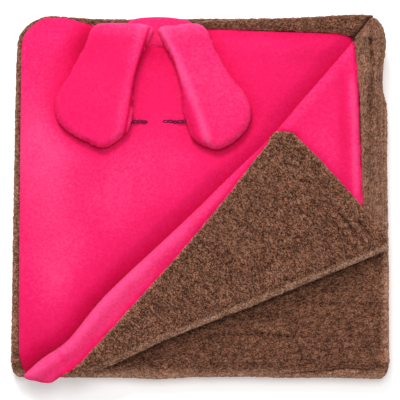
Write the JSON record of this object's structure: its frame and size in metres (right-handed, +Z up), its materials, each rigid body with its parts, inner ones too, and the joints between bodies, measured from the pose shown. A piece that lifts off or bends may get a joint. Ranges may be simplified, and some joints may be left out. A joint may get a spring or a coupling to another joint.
{
  "type": "hooded baby towel",
  "caption": "Plush towel folded into a flat packet, with a velour hood on top, hanging ears, closed stitched eyes and a free corner turned back to show its lining.",
  "frame": {"origin": "middle of the folded outline, on the surface the towel lies on", "axes": "+X towards the side folds, +Y towards the crown of the hood where the ears are sewn, +Z up"},
  "size_m": [0.4, 0.392, 0.0487],
  "materials": {
    "plush_body": "double-sided coral plush, brown",
    "plush_lining": "coral plush lining, brown",
    "plush_border": "padded coral plush border, brown",
    "velour_hood": "brushed velour fleece, hot pink",
    "velour_ear": "brushed velour fleece, hot pink",
    "eye_thread": "chain-stitched embroidery thread, dark plum"
  },
  "bodies": {
    "lower_half": {"bottom_quarter": "plush_body", "second_quarter": "plush_body", "lower_side_fold": "plush_body", "front_fold_inner": "plush_body", "front_fold_outer": "plush_body"},
    "upper_half": {"third_quarter": "plush_body", "top_quarter": "plush_body", "upper_side_fold": "plush_body", "hood_face_lining": "plush_lining", "hood_face": "velour_hood", "hood_side_lining": "plush_lining", "hood_side": "velour_hood", "side_border": "plush_border", "back_border": "plush_border", "crown_roll": "velour_hood", "eye_left": "eye_thread", "eye_right": "eye_thread", "corner_fold_face": "velour_hood", "corner_fold_lining": "plush_lining"},
    "turned_corner": {"corner_face": "velour_hood", "corner_lining": "plush_lining", "corner_border": "plush_border"},
    "ear_left": {"ear_left_back": "velour_ear", "ear_left_front": "velour_ear"},
    "ear_right": {"ear_right_back": "velour_ear", "ear_right_front": "velour_ear"}
  },
  "joints": [
    {"name": "unfold", "type": "hinge", "parent": "lower_half", "child": "upper_half", "pos_m": [0, -0.193, 0.02595], "axis": [1, 0, 0], "range_deg": [0, 180], "deforming": ["front_fold_outer", "front_fold_inner"]},
    {"name": "corner_turn", "type": "hinge", "parent": "upper_half", "child": "turned_corner", "pos_m": [0.1955, -0.0411, 0.04225], "axis": [0.9163, 0.4004, 0], "range_deg": [0, 178], "deforming": ["corner_fold_face", "corner_fold_lining"]},
    {"name": "ear_left_lift", "type": "hinge", "parent": "upper_half", "child": "ear_left", "pos_m": [-0.07987, 0.187, 0.045], "axis": [-1, 0, 0], "range_deg": [0, 160]},
    {"name": "ear_right_lift", "type": "hinge", "parent": "upper_half", "child": "ear_right", "pos_m": [-0.01687, 0.187, 0.045], "axis": [-1, 0, 0], "range_deg": [0, 160]}
  ]
}
